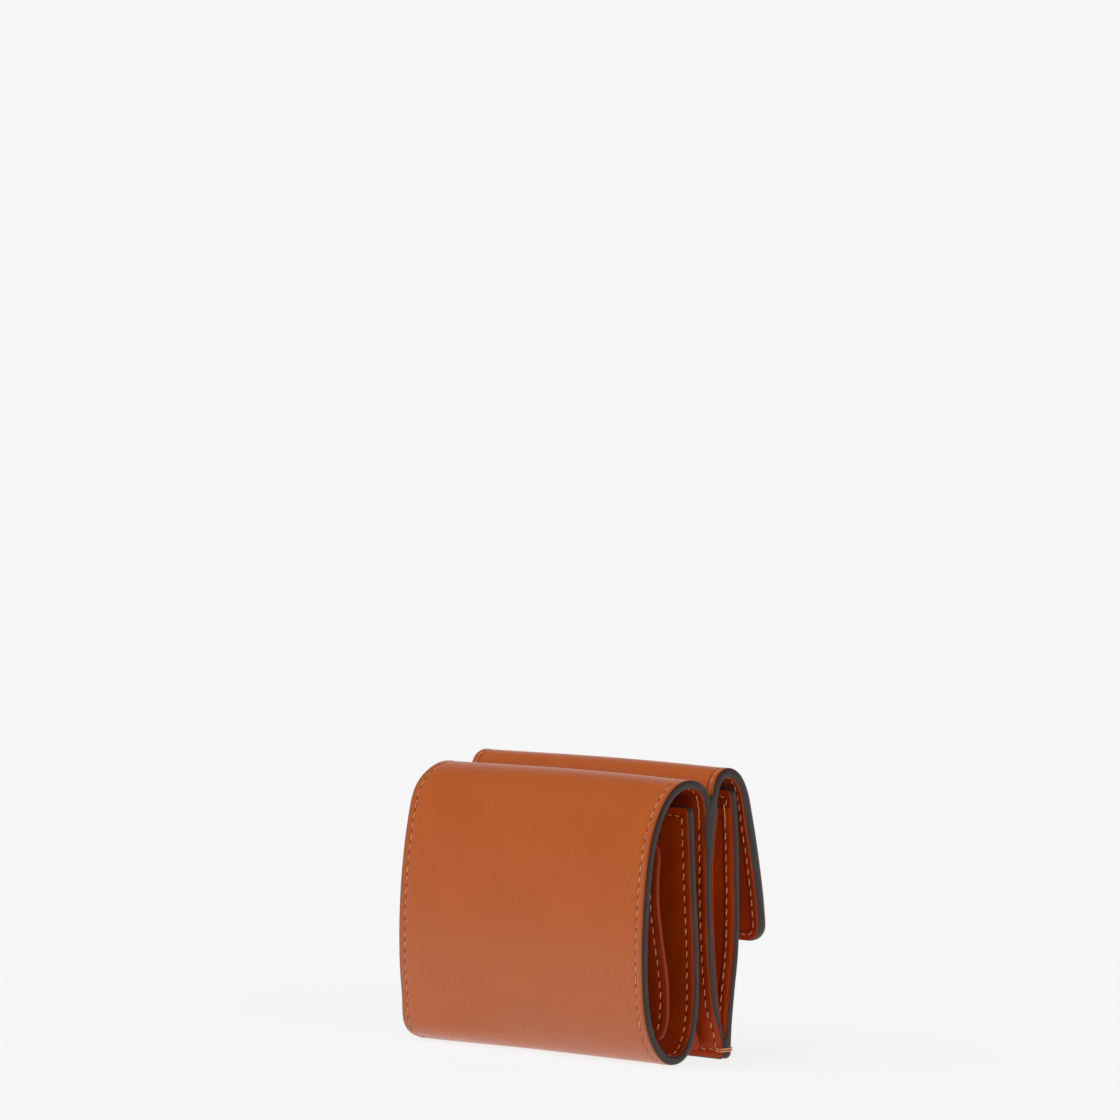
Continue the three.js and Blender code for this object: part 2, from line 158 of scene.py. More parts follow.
class Path:
    """A line in side view. Lengths run along it, and offsets go to its right-hand side."""

    def __init__(self, spots):
        self.spots = spots
        steps = np.linalg.norm(np.diff(spots, axis=0), axis=1)
        self.lengths = np.concatenate([[0], np.cumsum(steps)])
        self.total = self.lengths[-1]
        along = np.gradient(spots, self.lengths, axis=0)
        along /= np.linalg.norm(along, axis=1)[:, None]
        self.normals = np.stack([along[:, 1], -along[:, 0]], 1)

    def part(self, start, end):
        """The stretch between two lengths, as a path of its own."""
        return Path(self.spots[(self.lengths >= start) & (self.lengths <= end)])

    def at(self, length, offset):
        """(depth, height) at a length, moved right by an offset; past the ends it goes on straight."""
        length, offset = np.broadcast_arrays(np.asarray(length, float), np.asarray(offset, float))
        inside = np.clip(length, 0, self.total)
        spot = np.stack([np.interp(inside, self.lengths, self.spots[:, i]) for i in (0, 1)], -1)
        normal = np.stack([np.interp(inside, self.lengths, self.normals[:, i]) for i in (0, 1)], -1)
        normal /= np.linalg.norm(normal, axis=-1)[..., None]
        along = np.stack([-normal[..., 1], normal[..., 0]], -1)
        return spot + normal * offset[..., None] + along * (length - inside)[..., None]

    def near(self, depth, height):
        return self.lengths[np.argmin(np.hypot(*(self.spots - (depth, height)).T))]

    def bend(self, length):
        """Turning per millimetre."""
        heading = np.unwrap(np.arctan2(self.normals[:, 1], self.normals[:, 0]))
        return np.abs(np.interp(length, self.lengths, np.gradient(heading, self.lengths)))


# ---------- strips: a path, a thickness and a plan outline ----------
EDGE_STEPS = np.array([0, 0.1, 0.22, 0.42, 0.8, 1.3, 1.75, 2.15, 2.5, 2.8, 3.1, 3.6, 4.6, 6.4])
MIDDLE_COLUMNS = 26


class Strip:
    """Leather laid along a path. A place on it is (s along the path, x across, depth into the leather)."""

    def __init__(self, path, thick, start_corner, end_corner, half=HALF, rim=PAINT, lift=None,
                 crowns=(), squares=()):
        self.path, self.thick, self.wide, self.rim = path, thick, half, rim
        self.crowns, self.squares = crowns, squares
        self.lift = lift or (lambda s: 0.0)
        self.corners = {0.0: start_corner, path.total: end_corner}
        self.rows = self.spaced_rows()

    def spaced_rows(self):
        """Lengths close together round bends and near free edges."""
        rows = [0.0]
        while rows[-1] < self.path.total:
            step = np.clip(0.07 / max(self.path.bend(rows[-1] + 0.4), 1e-6), 0.55, 2.6)
            rows.append(rows[-1] + step)
        rows = np.array(rows[:-1])
        for tip in self.corners:
            inward = 1 if tip == 0 else -1
            rows = rows[np.abs(rows - tip) > EDGE_STEPS[-1] + 1]
            rows = np.concatenate([rows, tip + inward * (self.rim + EDGE_STEPS)])
        return np.sort(rows)

    def cut(self, depth, height):
        """A dividing length midway between two rows, so that both sides share one facet's slope."""
        i = int(np.searchsorted(self.rows, self.path.near(depth, height)))
        return (self.rows[i - 1] + self.rows[i]) / 2

    def sway(self, s, x):
        """How far the strip stands out from its path: crowned in the middle, squared up at the far end."""
        rise = 0.09 * np.sin(x / 17 + 1) * np.sin(s / 23)
        for centre, width, height in self.crowns:
            rise = rise + height * bump(s, centre, width) * (1 - (x / HALF) ** 2)
        rise = rise * (1 - (np.abs(x) / HALF) ** 6)
        for centre, width, height in self.squares:
            rise = rise + height * bump(s, centre, width) * smoothstep(-x, 0, HALF)
        return rise

    def place(self, s, x, depth):
        """Points in the scene, in metres."""
        s, x, depth = np.broadcast_arrays(*(np.asarray(v, float) for v in (s, x, depth)))
        flat = self.path.at(s, depth + self.lift(s) - self.sway(s, x))
        return np.stack([x, flat[..., 0] + FACE_Y, np.maximum(flat[..., 1], 0)], -1) * MM

    def half(self, s, inset):
        """Half the plan's width at a length, for an outline moved in by inset."""
        width = np.full(np.shape(s), self.wide - inset)
        for tip, corner in self.corners.items():
            gap = np.abs(s - tip)
            rise = np.sqrt(np.maximum((corner - inset) ** 2 - np.maximum(corner - gap, 0) ** 2, 0))
            width = np.where(gap < corner, self.wide - corner + rise, width)
        return width

    def edge(self, s, x):
        """Distance in from the plan outline."""
        side = self.wide - np.abs(x)
        distance = side
        for tip, corner in self.corners.items():
            gap = np.abs(s - tip)
            rounded = corner - np.hypot(corner - side, corner - gap)
            in_corner = (side < corner) & (gap < corner)
            distance = np.minimum(distance, np.where(in_corner, rounded, np.minimum(side, gap)))
        return distance

    def stretch(self, start, end):
        """Rows from start to end, one row past each cut, and which of the two ends are cuts."""
        cuts = (start > 0, end < self.path.total)
        first, last = np.searchsorted(self.rows, (start, end))
        return self.rows[first - cuts[0]:last + cuts[1]], cuts


def meet(values, cuts):
    """Moves the outermost rows of an array in to the cuts between rows."""
    values = np.array(values)
    if cuts[0]:
        values[0] = (values[0] + values[1]) / 2
    if cuts[1]:
        values[-1] = (values[-1] + values[-2]) / 2
    return values


# ---------- meshes ----------
def make(name, points, faces, material, uv=None, edge=None, sharp=42):
    """A mesh object with outward faces, smooth except across sharp edges."""
    mesh = bpy.data.meshes.new(name)
    mesh.from_pydata(np.asarray(points).tolist(), [], faces)
    if uv is not None:
        corners = np.empty(len(mesh.loops), np.int32)
        mesh.loops.foreach_get("vertex_index", corners)
        chart = mesh.uv_layers.new(name="strip")
        chart.data.foreach_set("uv", np.asarray(uv, np.float32)[corners].ravel())
    if edge is not None:
        attribute = mesh.attributes.new("edge", "FLOAT", "POINT")
        attribute.data.foreach_set("value", np.asarray(edge, np.float32).ravel())
    solid = bmesh.new()
    solid.from_mesh(mesh)
    bmesh.ops.recalc_face_normals(solid, faces=solid.faces)
    for face in solid.faces:
        face.smooth = True
    for line in solid.edges:
        line.smooth = line.calc_face_angle(math.pi) < math.radians(sharp)
    solid.to_mesh(mesh)
    solid.free()
    mesh.materials.append(material)
    thing = bpy.data.objects.new(name, mesh)
    bpy.context.scene.collection.objects.link(thing)
    return thing


def grid_faces(rows, columns, base=0, rings=False, loop=False):
    """Quads of a grid of vertices. rings joins the last column to the first, loop the last row."""
    faces = []
    for i in range(rows if loop else rows - 1):
        for j in range(columns if rings else columns - 1):
            near, far = base + i * columns, base + (i + 1) % rows * columns
            faces.append((near + j, near + (j + 1) % columns, far + (j + 1) % columns, far + j))
    return faces


def slab(name, top, bottom, material, uv, edge):
    """A closed sheet from two grids of points with the same rows and columns."""
    rows, columns = top.shape[:2]
    count = rows * columns
    faces = grid_faces(rows, columns) + grid_faces(rows, columns, count)
    rim = list(range(columns))
    rim += [i * columns + columns - 1 for i in range(1, rows)]
    rim += [(rows - 1) * columns + j for j in range(columns - 2, -1, -1)]
    rim += [i * columns for i in range(rows - 2, 0, -1)]
    faces += [(a, b, b + count, a + count) for a, b in zip(rim, rim[1:] + rim[:1])]
    points = np.concatenate([top.reshape(-1, 3), bottom.reshape(-1, 3)])
    return make(name, points, faces, material, np.tile(uv.reshape(-1, 2), (2, 1)), np.tile(edge.ravel(), 2))


def bar(name, sections, material, uv, loop=False):
    """A closed bar through section loops, with end caps unless it is itself a loop."""
    rows, columns = sections.shape[:2]
    faces = grid_faces(rows, columns, rings=True, loop=loop)
    if not loop:
        faces += [tuple(range(columns)), tuple((rows - 1) * columns + j for j in range(columns))]
    return make(name, sections.reshape(-1, 3), faces, material, uv.reshape(-1, 2))


def strip_uv(s, x):
    """Texture places in tenths of a metre, continuous along the whole strip."""
    s, x = np.broadcast_arrays(s, x)
    return np.stack([x, s], -1) / 100


def columns_at(strip, rows):
    """The x of every column on each row, close together near the sides."""
    half = strip.half(rows, strip.rim)[:, None]
    reach = np.minimum(half, EDGE_STEPS[-1])
    ladder = half - EDGE_STEPS / EDGE_STEPS[-1] * reach
    middle = (half - reach) * np.linspace(-1, 1, MIDDLE_COLUMNS)[1:-1]
    return np.concatenate([-ladder, middle, ladder[:, ::-1]], 1)


def relief(edge, seam, start, lip):
    """How far a face stands out: rounded towards its edge, drawn in along the stitching."""
    fall = np.clip(lip - (edge - start), 0, lip)
    rounding = lip - np.sqrt(lip**2 - fall**2)
    return 0.05 * bump(edge, seam / 2, 0.8) - rounding - 0.13 * bump(edge, seam, 0.55)


def layer(name, strip, start, end, seam, material, lining=False, extra=None):
    """The leather or the lining of a strip, from one length to another."""
    rows, cuts = strip.stretch(start, end)
    x = columns_at(strip, rows)
    s = np.broadcast_to(rows[:, None], x.shape)
    edge, thick = strip.edge(s, x), strip.thick(s)
    out = relief(edge, seam, PAINT, LIP) * np.clip(thick / 1.8, 0, 1)
    if extra is not None:
        out = out + extra(s, x)
    face = thick + out if lining else -out
    core = thick * (1 - SKIN) if lining else thick * SKIN
    top, bottom = (meet(strip.place(s, x, depth), cuts) for depth in (face, core))
    return slab(name, top, bottom, material, meet(strip_uv(s, x), cuts), meet(edge, cuts))


def thin_sheet(name, strip, material, seam):
    """A sheet of leather on its own, with rounded edges and a sewn or creased line along them."""
    x = columns_at(strip, strip.rows)
    s = np.broadcast_to(strip.rows[:, None], x.shape)
    edge, thick = strip.edge(s, x), strip.thick(s)
    out = relief(edge, seam, 0, thick.max() / 2 - 0.03)
    top, bottom = strip.place(s, x, -out), strip.place(s, x, thick + out)
    return slab(name, top, bottom, material, strip_uv(s, x), edge)


# ---------- edge paint ----------
PAINT_DOME = 9                   # points across the domed outside


def paint_section(low, high):
    """(distance in, depth) round the paint's section: a dome outside, flat and hidden inside."""
    turn = np.linspace(-math.pi / 2, math.pi / 2, PAINT_DOME)
    sunk = 0.07
    proud = 0.05 if low < -1 else 0          # paint shared with the strip below covers that strip's own
    reach = 1.4 * PAINT * np.abs(np.sin(turn)) ** 3 - proud
    depth = (low + high) / 2 + ((high - low) / 2 - sunk) * np.sin(turn)
    dome = list(zip(reach, depth))
    return np.array([(PAINT_REACH, low + sunk + 0.1)] + dome + [(PAINT_REACH, high - sunk - 0.1)])


def tip_stations(strip, tip, side):
    """Stations (s, x, inward s, inward x) round a free end, starting on one side."""
    corner = strip.corners[tip]
    inward = 1 if tip == 0 else -1
    arc = [(tip + inward * corner * (1 - math.sin(a)), side * (strip.wide - corner * (1 - math.cos(a))),
            inward * math.sin(a), -side * math.cos(a)) for a in np.linspace(0, math.pi / 2, 9)]
    across = [(tip, side * x, inward, 0) for x in np.linspace(1, -1, 44)[1:-1] * (strip.wide - corner)]
    return arc + across + [(s, -x, ns, -nx) for s, x, ns, nx in reversed(arc)]


def outlines(strip, start, end):
    """Runs of stations along a strip's outline, each with its cuts, and whether they close."""
    rows, cuts = strip.stretch(start, end)
    tips = [tip for tip in strip.corners if not cuts[0 if tip == 0 else 1]]
    for tip in tips:
        rows = rows[np.abs(rows - tip) > strip.corners[tip] + 0.2]
    right = [(s, strip.wide, 0, -1) for s in rows]
    left = [(s, -strip.wide, 0, 1) for s in rows[::-1]]
    if not tips:
        return [(right, cuts), (left[::-1], cuts)], False
    if len(tips) == 2:
        run = right + tip_stations(strip, tips[1], 1) + left + tip_stations(strip, tips[0], -1)
        return [(run, (False, False))], True
    if tips[0] == 0:
        return [(left + tip_stations(strip, tips[0], -1) + right, (cuts[1], cuts[1]))], False
    return [(right + tip_stations(strip, tips[0], 1) + left, (cuts[0], cuts[0]))], False


def edge_paint(name, strip, start, end, material, spread=None):
    """The painted edge all along a strip's outline, as domed bars. spread(s) is how far the sides'
    paint goes over the neighbouring layers: before the strip's outer face and past its lining."""
    runs, loop = outlines(strip, start, end)
    bars = []
    for stations, cuts in runs:
        s, x, ns, nx = (column[:, None] for column in np.array(stations).T)
        low, high = np.zeros(len(s)), strip.thick(s[:, 0])
        if spread:
            before, past = spread(s[:, 0])
            low, high = low - before * np.abs(nx[:, 0]), high + past * np.abs(nx[:, 0])
        reach, depth = np.array([paint_section(*ends) for ends in zip(low, high)]).transpose(2, 0, 1)
        sections = meet(strip.place(s + ns * reach, x + nx * reach, depth), cuts)
        travel = np.concatenate([[0], np.cumsum(np.hypot(np.diff(s[:, 0]), np.diff(x[:, 0])))])[:, None]
        uv = meet(np.stack([depth, np.broadcast_to(travel, depth.shape)], -1) / 100, cuts)
        bars.append(bar(f"{name}_{len(bars) + 1}", sections, material, uv, loop))
    return bars


# ---------- stitching ----------
def gather(parts):
    """Joins (points, faces) pairs into one pair."""
    points, faces, count = [], [], 0
    for part_points, part_faces in parts:
        points.append(part_points)
        faces += [tuple(corner + count for corner in face) for face in part_faces]
        count += len(part_points)
    return np.concatenate(points), faces


RING = 7
ALONG = np.array([-1, -0.93, -0.7, -0.3, 0.3, 0.7, 0.93, 1])
GIRTH = np.array([0.15, 0.62, 0.95, 1, 1, 0.95, 0.62, 0.15])


def thread_bar(place, s, x, heading, length, level, radius=THREAD, sag=0.34):
    """One stitch lying on a face: a short soft bar whose two ends dip into their holes."""
    turn = np.linspace(0, 2 * math.pi, RING, endpoint=False)
    along = ALONG[:, None] * length / 2
    across = radius * GIRTH[:, None] * np.cos(turn)
    rise = radius * GIRTH[:, None] * np.sin(turn) * 0.85 + 0.05 - sag * np.abs(ALONG[:, None]) ** 5
    ds, dx = math.cos(heading), math.sin(heading)
    points = place(s + ds * along - dx * across, x + dx * along + ds * across, level(rise))
    faces = grid_faces(len(ALONG), RING, rings=True)
    faces += [tuple(range(RING)), tuple((len(ALONG) - 1) * RING + j for j in range(RING))]
    return points.reshape(-1, 3), faces


def hole(place, s, x, level, radius):
    """The dimple of a needle hole, a dark spot just over the face: painted shade inside the hole."""
    turn = np.linspace(0, 2 * math.pi, 10, endpoint=False)
    rim = place(s + radius * np.cos(turn), x + radius * np.sin(turn), level(np.full(10, -0.1)))
    middle = place(np.array([s]), np.array([x]), level(np.array([-0.12])))
    return np.concatenate([rim, middle]), [(i, (i + 1) % 10, 10) for i in range(10)]


def tube(points, radius, sides=8):
    """A round thread through points given in millimetres in the scene."""
    line = catmull(points, 5)
    along = np.gradient(line, axis=0)
    along /= np.linalg.norm(along, axis=1)[:, None]
    flat = np.cross(along, (0, 0, 1))
    flat /= np.linalg.norm(flat, axis=1)[:, None]
    over = np.cross(flat, along)
    turn = np.linspace(0, 2 * math.pi, sides, endpoint=False)
    ring = flat[:, None] * np.cos(turn)[:, None] + over[:, None] * np.sin(turn)[:, None]
    faces = grid_faces(len(line), sides, rings=True)
    faces += [tuple(range(sides)), tuple((len(line) - 1) * sides + j for j in range(sides))]
    return ((line[:, None] + ring * radius) * MM).reshape(-1, 3), faces


def backstitch(places, low, high):
    """A second pass of the needle, between two lengths: stitches over the first ones, askew."""
    return [(s + PITCH / 2, x + rng.normal(0, 0.12), heading + rng.normal(0.22, 0.1))
            for s, x, heading in places if low <= s < high]


def seam_places(strip, seam, start, end):
    """Stitch centres and headings down both sides of a strip, from one length to another."""
    count = max(int((end - start) / PITCH), 1)
    centres = start + (np.arange(count) + 0.5) * (end - start) / count
    return [(s, side * (strip.wide - seam), 0.0) for side in (1, -1) for s in centres]


def corner_places(strip, seam, tip, start):
    """Stitches from a length, round a free end's rounded corners, and back to that length."""
    corner = strip.corners[tip]
    inward = 1 if tip == 0 else -1
    bend = max(corner - seam, 0.4)
    turns = np.linspace(0, math.pi / 2, 7)
    centre_s, centre_x = tip + inward * (seam + bend), strip.wide - seam - bend
    right = [(start, strip.wide - seam)]
    right += [(centre_s - inward * bend * math.sin(a), centre_x + bend * math.cos(a)) for a in turns]
    line = np.array(right + [(s, -x) for s, x in reversed(right)])
    run = np.concatenate([[0], np.cumsum(np.hypot(*np.diff(line, axis=0).T))])
    count = int(run[-1] / PITCH)
    middles = (np.arange(count) + 0.5) * run[-1] / count
    spots = [np.stack([np.interp(middles + d, run, line[:, i]) for i in (0, 1)], 1) for d in (-0.8, 0, 0.8)]
    headings = np.arctan2(*(spots[2] - spots[0]).T[::-1])
    return [(s, x, h) for (s, x), h in zip(spots[1], headings)]


def stitches(name, strip, places, lining=False, over=0.0, low=None, high=None):
    """Thread and needle holes at places on one face of a strip, between two lengths."""
    bars, holes = [], []
    for s, x, heading in places:
        if (low is not None and s < low) or (high is not None and s >= high):
            continue
        thick = float(strip.thick(np.array(s))) + over

        def level(rise):
            return thick - 0.12 + rise if lining else 0.12 - rise

        slant = heading + math.radians(rng.normal(7, 1.8)) * (-1 if lining else 1)
        length = STITCH * rng.uniform(0.94, 1.05)
        bars.append(thread_bar(strip.place, s + rng.normal(0, 0.05), x + rng.normal(0, 0.04),
                               slant, length, level, THREAD * rng.uniform(0.93, 1.07)))
        reach = PITCH / 2
        holes.append(hole(strip.place, s - reach * math.cos(heading), x - reach * math.sin(heading),
                          level, LINING_HOLE if lining else FACE_HOLE))
    thread = make(name, *gather(bars), THREAD_LOOK, sharp=80)
    dots = make(name + "_holes", *gather(holes), HOLE_SHADE_LOOK)
    return [thread, dots]


# ---------- looks ----------
class Look:
    """A node material on the way: sockets go in as links, plain values as settings."""

    def __init__(self, name):
        self.material = bpy.data.materials.new(name)
        self.material.use_nodes = True
        self.tree = self.material.node_tree
        self.shader = self.tree.nodes["Principled BSDF"]

    def plug(self, socket, value):
        if isinstance(value, bpy.types.NodeSocket):
            self.tree.links.new(value, socket)
        else:
            socket.default_value = value

    def node(self, kind, out, inputs, **settings):
        made = self.tree.nodes.new(kind)
        for key, value in settings.items():
            setattr(made, key, value)
        for key, value in inputs.items():
            self.plug(made.inputs[key], value)
        return made.outputs[out]

    def chart(self, along=1.0, across=1.0):
        uv = self.node("ShaderNodeUVMap", "UV", {}, uv_map="strip")
        return self.node("ShaderNodeMapping", "Vector", {"Vector": uv, "Scale": (across, along, 1)})

    def noise(self, where, scale, detail=4, rough=0.55):
        return self.node("ShaderNodeTexNoise", "Fac",
                         {"Vector": where, "Scale": scale, "Detail": detail, "Roughness": rough})

    def cells(self, where, scale):
        return self.node("ShaderNodeTexVoronoi", "Distance", {"Vector": where, "Scale": scale})

    def span(self, value, low, high, first=0.0, last=1.0):
        return self.node("ShaderNodeMapRange", "Result", {
            "Value": value, "From Min": low, "From Max": high, "To Min": first, "To Max": last})

    def math(self, operation, a, b):
        return self.node("ShaderNodeMath", "Value", {0: a, 1: b}, operation=operation)

    def mix(self, factor, a, b):
        return self.node("ShaderNodeMixRGB", "Color", {"Fac": factor, "Color1": a, "Color2": b})

    def edge(self):
        return self.node("ShaderNodeAttribute", "Fac", {}, attribute_name="edge")

    def bump(self, height, distance, strength=1.0, under=None):
        inputs = {"Height": height, "Distance": distance, "Strength": strength}
        if under is not None:
            inputs["Normal"] = under
        return self.node("ShaderNodeBump", "Normal", inputs)

    def finish(self, **inputs):
        for key, value in inputs.items():
            self.plug(self.shader.inputs[key.replace("_", " ")], value)
        return self.material


def tone(red, green, blue):
    """A colour given in sRGB, 0 to 255."""
    linear = [((c / 255 + 0.055) / 1.055) ** 2.4 if c > 10 else c / 3295 for c in (red, green, blue)]
    return (*linear, 1)


def calf(name, light, dark, burnish_and_highlight_tone, seam, rough, gloss, rim_burnish_and_highlight=0.5):
    """Smooth calf leather: cloudy dye, pores, fine creases, a burnished rim and a pressed seam. On the card
    block the rim's pinker tone is painted highlight on its turned edge.
    """
    look = Look(name)
    chart = look.chart()
    cloud = look.noise(chart, 4.5, 5, 0.6)
    mottle = look.noise(chart, 60, 4, 0.65)
    pores = look.cells(chart, 210)
    creases = look.noise(look.chart(along=1, across=3.2), 34, 3, 0.5)
    dye = look.mix(look.span(cloud, 0.36, 0.64), dark, light)
    dye = look.mix(look.span(mottle, 0.4, 0.75, 0, 0.3), dye, dark)
    dye = look.mix(look.span(pores, 0.05, 0.25, 0.16, 0), dye, burnish_and_highlight_tone)
    # Rim tint: the outer calf and the lining get a darker, burnished rim; the card block's pinker rim tone is
    # painted highlight on its turned edge.
    rim = look.span(look.edge(), 0.35, 1.5, rim_burnish_and_highlight, 0)
    off_seam = look.math("ABSOLUTE", look.math("SUBTRACT", look.edge(), seam), 0)
    press = look.span(off_seam, 0.12, 0.6, 0.7, 0)
    dye = look.mix(look.math("MAXIMUM", rim, press), dye, burnish_and_highlight_tone)
    shine = look.math("ADD", look.span(cloud, 0.3, 0.7, rough, rough + 0.04),
                      look.span(pores, 0.0, 0.3, 0.08, 0))
    skin = look.bump(creases, 0.00016, 0.55)
    skin = look.bump(look.noise(chart, 150, 3, 0.6), 0.00008, 0.6, skin)
    skin = look.bump(look.span(pores, 0.0, 0.28), 0.00003, 0.7, skin)
    return look.finish(Base_Color=dye, Roughness=shine, Normal=skin, Specular_IOR_Level=gloss,
                       Coat_Weight=gloss, Coat_Roughness=0.2)


def edge_paint_look():
    """Dark paint on cut edges: satin, with the layers beneath just showing as lines."""
    look = Look("Edge paint")
    lines = look.noise(look.chart(along=0.35, across=14), 30, 3, 0.5)
    cloud = look.noise(look.chart(), 30, 4, 0.6)
    colour = look.mix(look.span(lines, 0.42, 0.62), PAINT_DARK, PAINT_LIGHT)
    colour = look.mix(look.span(cloud, 0.4, 0.7, 0, 0.35), colour, PAINT_DARK)
    surface = look.bump(lines, 0.00006, 0.6)
    surface = look.bump(look.noise(look.chart(), 220, 3, 0.6), 0.00003, 0.6, surface)
    shine = look.span(cloud, 0.3, 0.7, 0.4, 0.52)
    return look.finish(Base_Color=colour, Roughness=shine, Normal=surface, Specular_IOR_Level=0.45)


def own_chart(look):
    """Object places, for small pieces that have no chart: thread, fibre board and metal."""
    return look.node("ShaderNodeTexCoord", "Object", {})


def thread_look():
    look = Look("Waxed thread")
    where = own_chart(look)
    twist = look.noise(where, 2600, 2, 0.5)
    colour = look.mix(look.span(twist, 0.35, 0.65), tone(182, 100, 58), tone(246, 168, 114))
    fuzz = look.bump(twist, 0.00008, 0.8)
    return look.finish(Base_Color=colour, Roughness=look.span(twist, 0.3, 0.7, 0.5, 0.66),
                       Normal=fuzz, Sheen_Weight=0.25, Sheen_Roughness=0.4)


def hole_shade_look():
    look = Look("Needle hole shade")
    shade = look.noise(own_chart(look), 1500, 2, 0.5)
    # The dark browns are painted shade inside the needle holes.
    colour = look.mix(shade, tone(60, 20, 6), tone(92, 34, 12))
    return look.finish(Base_Color=colour, Roughness=look.span(shade, 0, 1, 0.75, 0.95))


def board_look():
    look = Look("Fibre board")
    where = own_chart(look)
    fibre = look.noise(where, 900, 5, 0.7)
    colour = look.mix(fibre, tone(120, 110, 96), tone(186, 174, 154))
    return look.finish(Base_Color=colour, Roughness=look.span(fibre, 0, 1, 0.75, 0.95),
                       Normal=look.bump(fibre, 0.0002, 0.5))


def gilt_look():
    look = Look("Gilt metal")
    where = own_chart(look)
    wear = look.noise(where, 400, 5, 0.6)
    colour = look.mix(look.span(wear, 0.3, 0.75), tone(232, 196, 120), tone(198, 156, 84))
    return look.finish(Base_Color=colour, Metallic=1.0, Roughness=look.span(wear, 0.3, 0.7, 0.16, 0.34),
                       Normal=look.bump(look.noise(where, 2500, 2, 0.5), 0.00001, 0.4))


PAINT_DARK, PAINT_LIGHT = tone(40, 31, 28), tone(57, 46, 42)
CALF = calf("Smooth tan calf", tone(187, 88, 18), tone(183, 85, 16), tone(112, 40, 7),
            COVER_SEAM, 0.36, 0.4)
# The lining's and the card block's tones are darker and deeper than the outer calf's: painted shade for the
# wallet's shaded inside.
LINING = calf("Tan calf lining with painted shade", tone(172, 61, 9), tone(154, 49, 6), tone(100, 26, 4),
              COVER_SEAM, 0.48, 0.1, 0.1)
# The card block's pinker rim tone, given a strong share, is painted highlight on its turned edge.
BLOCK_CALF = calf("Tan calf block with painted shade and highlight", tone(170, 58, 9), tone(152, 46, 6), tone(132, 46, 24),
                  BLOCK_SEAM, 0.48, 0.14, 0.8)
PAINT_LOOK = edge_paint_look()
THREAD_LOOK = thread_look()
HOLE_SHADE_LOOK = hole_shade_look()
BOARD_LOOK = board_look()
GILT_LOOK = gilt_look()


def bind(pieces, where, stands_for=()):
    """Pieces ride on the body that where names. Given a hinge (body, body, start, end) instead, a piece only
    has its transform baked in; the hinge's bodies and places are not read.
    """
    for piece in pieces:
        if isinstance(where, str):
            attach(piece, where)
        else:
            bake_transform(piece)
    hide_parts(*stands_for)


# Each hinge gives two bodies and a start and an end place in side view. bind reads none of them.
U_FOLD = ("main_panel", "inner_panel", (6.4, 0), (17.9, 0))
TOP_FRONT = ("main_panel", "top_spine", (6, 69), (15.5, 79))
TOP_BACK = ("top_spine", "coin_body", (20.5, 79.7), (27, 74))
FLAP_FRONT = ("coin_body", "flap_spine", (28.9, 77.5), (33.5, 80.5))
FLAP_BACK = ("flap_spine", "flap", (36.6, 80.4), (42, 74.8))
GUSSET = ("coin_body", "pocket_front", (30.9, 0), (33.5, 0))
FOOT = ("coin_body", "pocket_front", (31.8, 0), (33.2, 0))


def steady(thickness):
    """The same thickness at every length."""
    return lambda s: np.full(np.shape(s), thickness)


def segment(name, strip, start, end, seam, where, nodes, extra=None, spread=None):
    """Leather, lining and painted edge of one segment. nodes: the leather's and the lining's."""
    leather_nodes, lining_nodes = nodes
    bind([layer(name + "_skin", strip, start, end, seam, CALF)], where, leather_nodes)
    lining = layer(name + "_inside", strip, start, end, seam, LINING, lining=True, extra=extra)
    bind([lining], where, lining_nodes)
    bind(edge_paint(name + "_edge", strip, start, end, PAINT_LOOK, spread), where)


# The cover: inner panel, U-bend, main panel, arch and the wall of the coin pocket.
cover_path = profile(COVER_POINTS)
arch_top = cover_path.near(19.7, 79.8)
wall_foot = cover_path.total


def cover_thick(s):
    """The cover's thickness: skived thinner at the foot, where it is sewn to the pocket front."""
    return COVER - SKIVED * smoothstep(s, wall_foot - 17, wall_foot - 5)


main_foot, main_shoulder = cover_path.near(4.6, 5), cover_path.near(7.6, 72)
cover = Strip(cover_path, cover_thick, PANEL_CORNER, SEAM_CORNER, crowns=[(arch_top, 9, 0.45)],
              squares=[(main_foot, 6, 2.6), (main_shoulder, 7, 1.3)])
low_cut, arch_cut = cover.cut(0.5, 38), cover.cut(18, 79.7)
u_bend = cover_path.near(12.6, 0)


def bend_wrinkles(s, x):
    """Fine creases across the inside of the U-bend."""
    ripple = np.sin((s - u_bend) * 2.9 + 0.8 * np.sin(x / 6)) * (0.6 + 0.4 * np.sin(x / 4.3))
    return 0.1 * ripple * bump(s, u_bend, 8)


def foot_puckers(s, x):
    """Two soft humps below the bottom seam, drawn in where the stitches pull."""
    below = wall_foot - s
    hump = bump(below, 1.4, 0.7) + 0.5 * bump(below, 4.6, 1.2)
    return (0.16 + 0.05 * np.sin(x * 2 * math.pi / PITCH)) * hump


segment("lower_cover", cover, 0, low_cut, COVER_SEAM, U_FOLD,
        (("inner_leather", "main_leather"), ("inner_lining", "main_lining")), bend_wrinkles)
segment("upper_cover", cover, low_cut, arch_cut, COVER_SEAM, TOP_FRONT,
        (("spine_leather",), ("spine_lining",)))
segment("wall", cover, arch_cut, wall_foot, COVER_SEAM, TOP_BACK,
        (("wall_leather",), ("wall_lining",)), foot_puckers)

# The flap: tail sewn to the wall, arch, and the hanging panel.
flap_path = profile(FLAP_POINTS)
tail_bend, flap_split = flap_path.near(28.1, 76.2), flap_path.near(31.6, 81.9)
flap_turn, hang_start = flap_path.near(39.4, 80.2), flap_path.near(43.2, 72)


